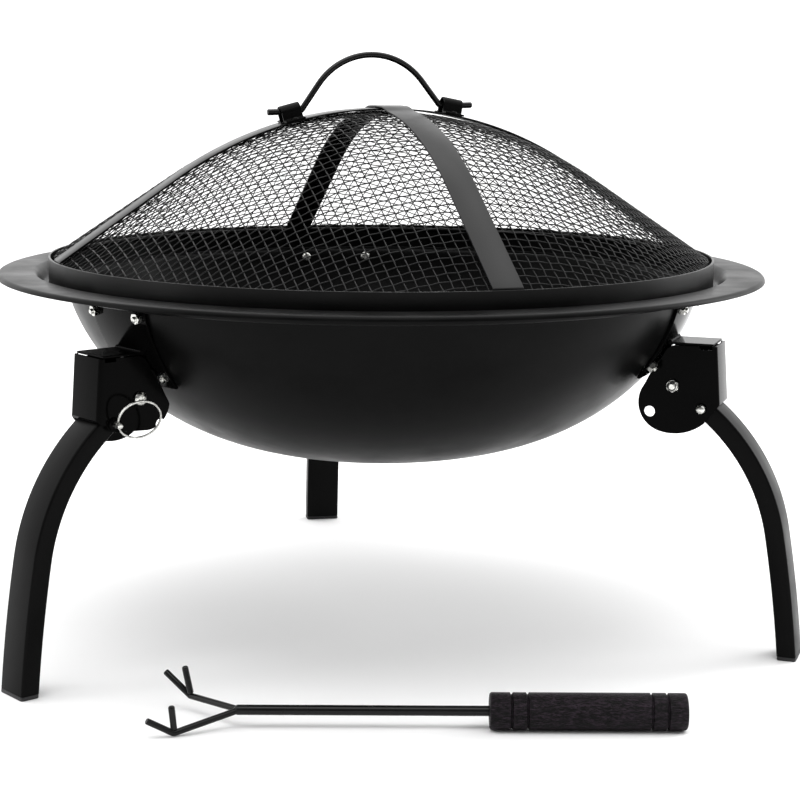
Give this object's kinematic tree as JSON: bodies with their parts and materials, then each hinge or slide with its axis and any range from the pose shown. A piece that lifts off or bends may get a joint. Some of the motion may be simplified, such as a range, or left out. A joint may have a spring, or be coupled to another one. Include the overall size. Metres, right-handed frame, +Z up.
{
  "type": "brazier",
  "caption": "Round steel fire bowl on folding legs with a domed wire spark screen, straps, bail handle and a forked poker with a turned grip.",
  "frame": {"origin": "middle of the footprint box, on the ground under the feet", "axes": "+Z up, +X to the right and +Y away from someone who faces the poker's side"},
  "size_m": [0.5833, 0.6032, 0.4208],
  "materials": {
    "satin_black_steel": "satin black heat-resistant paint",
    "gloss_black_steel": "smooth semi-gloss black paint",
    "black_wire": "black painted crimped wire mesh",
    "zinc_plated_steel": "bright zinc plating",
    "black_plastic": "matt moulded plastic",
    "stained_wood": "black stained open-grain wood"
  },
  "bodies": {
    "bowl_body": {"bowl": "satin_black_steel", "mount_plate_back": "gloss_black_steel", "housing_back": "gloss_black_steel", "pivot_bolt_back": "zinc_plated_steel", "pivot_nut_back": "zinc_plated_steel", "mount_bolt_back_1": "zinc_plated_steel", "mount_bolt_back_2": "zinc_plated_steel", "mount_bolt_back_3": "zinc_plated_steel", "mount_bolt_back_4": "zinc_plated_steel", "mount_plate_left": "gloss_black_steel", "housing_left": "gloss_black_steel", "pivot_bolt_left": "zinc_plated_steel", "pivot_nut_left": "zinc_plated_steel", "mount_bolt_left_1": "zinc_plated_steel", "mount_bolt_left_2": "zinc_plated_steel", "mount_bolt_left_3": "zinc_plated_steel", "mount_bolt_left_4": "zinc_plated_steel", "mount_plate_right": "gloss_black_steel", "housing_right": "gloss_black_steel", "pivot_bolt_right": "zinc_plated_steel", "pivot_nut_right": "zinc_plated_steel", "mount_bolt_right_1": "zinc_plated_steel", "mount_bolt_right_2": "zinc_plated_steel", "mount_bolt_right_3": "zinc_plated_steel", "mount_bolt_right_4": "zinc_plated_steel"},
    "leg_body_back": {"leg_back": "satin_black_steel", "foot_cap_back": "black_plastic"},
    "lock_pin_body_back": {"lock_pin_back": "zinc_plated_steel"},
    "pull_ring_body_back": {"pull_ring_back": "zinc_plated_steel"},
    "leg_body_left": {"leg_left": "satin_black_steel", "foot_cap_left": "black_plastic"},
    "lock_pin_body_left": {"lock_pin_left": "zinc_plated_steel"},
    "pull_ring_body_left": {"pull_ring_left": "zinc_plated_steel"},
    "leg_body_right": {"leg_right": "satin_black_steel", "foot_cap_right": "black_plastic"},
    "lock_pin_body_right": {"lock_pin_right": "zinc_plated_steel"},
    "pull_ring_body_right": {"pull_ring_right": "zinc_plated_steel"},
    "lid_body": {"lid_hoop": "satin_black_steel", "lid_hem_ring": "satin_black_steel", "lid_mesh": "black_wire", "lid_strap_long": "satin_black_steel", "lid_strap_cross": "satin_black_steel", "handle_clip_left": "satin_black_steel", "handle_clip_right": "satin_black_steel", "clip_rivet_left_front": "satin_black_steel", "clip_rivet_left_back": "satin_black_steel", "clip_rivet_right_front": "satin_black_steel", "clip_rivet_right_back": "satin_black_steel"},
    "handle_body": {"lid_handle": "satin_black_steel"},
    "poker_body": {"poker_shaft": "satin_black_steel", "poker_fork": "satin_black_steel", "poker_stub_back": "satin_black_steel", "poker_stub_front": "satin_black_steel", "poker_grip": "stained_wood"}
  },
  "joints": [
    {"name": "leg_fold_back", "type": "hinge", "parent": "bowl_body", "child": "leg_body_back", "pos_m": [-0.05072, 0.20759, 0.1926], "axis": [-0.9848, -0.1736, 0], "range_deg": [0, 93]},
    {"name": "lock_pin_pull_back", "type": "slide", "parent": "bowl_body", "child": "lock_pin_body_back", "axis": [-0.9848, -0.1736, 0], "range_m": [0, 0.05]},
    {"name": "pull_ring_swing_back", "type": "hinge", "parent": "lock_pin_body_back", "child": "pull_ring_body_back", "pos_m": [-0.0763, 0.22367, 0.17731], "axis": [0.378, -0.2733, -0.8845], "range_deg": [-12, 145]},
    {"name": "leg_fold_left", "type": "hinge", "parent": "bowl_body", "child": "leg_body_left", "pos_m": [-0.18383, -0.15813, 0.1926], "axis": [0.6428, -0.766, 0], "range_deg": [0, 93]},
    {"name": "lock_pin_pull_left", "type": "slide", "parent": "bowl_body", "child": "lock_pin_body_left", "axis": [0.6428, -0.766, 0], "range_m": [0, 0.05]},
    {"name": "pull_ring_swing_left", "type": "hinge", "parent": "lock_pin_body_left", "child": "pull_ring_body_left", "pos_m": [-0.18497, -0.18833, 0.17731], "axis": [0.0477, 0.464, -0.8845], "range_deg": [-12, 145]},
    {"name": "leg_fold_right", "type": "hinge", "parent": "bowl_body", "child": "leg_body_right", "pos_m": [0.19945, -0.09055, 0.1926], "axis": [0.342, 0.9397, 0], "range_deg": [0, 93]},
    {"name": "lock_pin_pull_right", "type": "slide", "parent": "bowl_body", "child": "lock_pin_body_right", "axis": [0.342, 0.9397, 0], "range_m": [0, 0.05]},
    {"name": "pull_ring_swing_right", "type": "hinge", "parent": "lock_pin_body_right", "child": "pull_ring_body_right", "pos_m": [0.22617, -0.07644, 0.17731], "axis": [-0.4257, -0.1907, -0.8845], "range_deg": [-12, 145]},
    {"name": "lid_lift", "type": "slide", "parent": "bowl_body", "child": "lid_body", "axis": [0, 0, 1], "range_m": [0, 0.3]},
    {"name": "handle_swing", "type": "hinge", "parent": "lid_body", "child": "handle_body", "pos_m": [-0.01996, -0.01671, 0.38009], "axis": [0.9392, 0.3418, 0.0316], "range_deg": [-85, 85]},
    {"name": "poker_take", "type": "slide", "parent": "bowl_body", "child": "poker_body", "axis": [0, -1, 0], "range_m": [0, 0.3]}
  ]
}
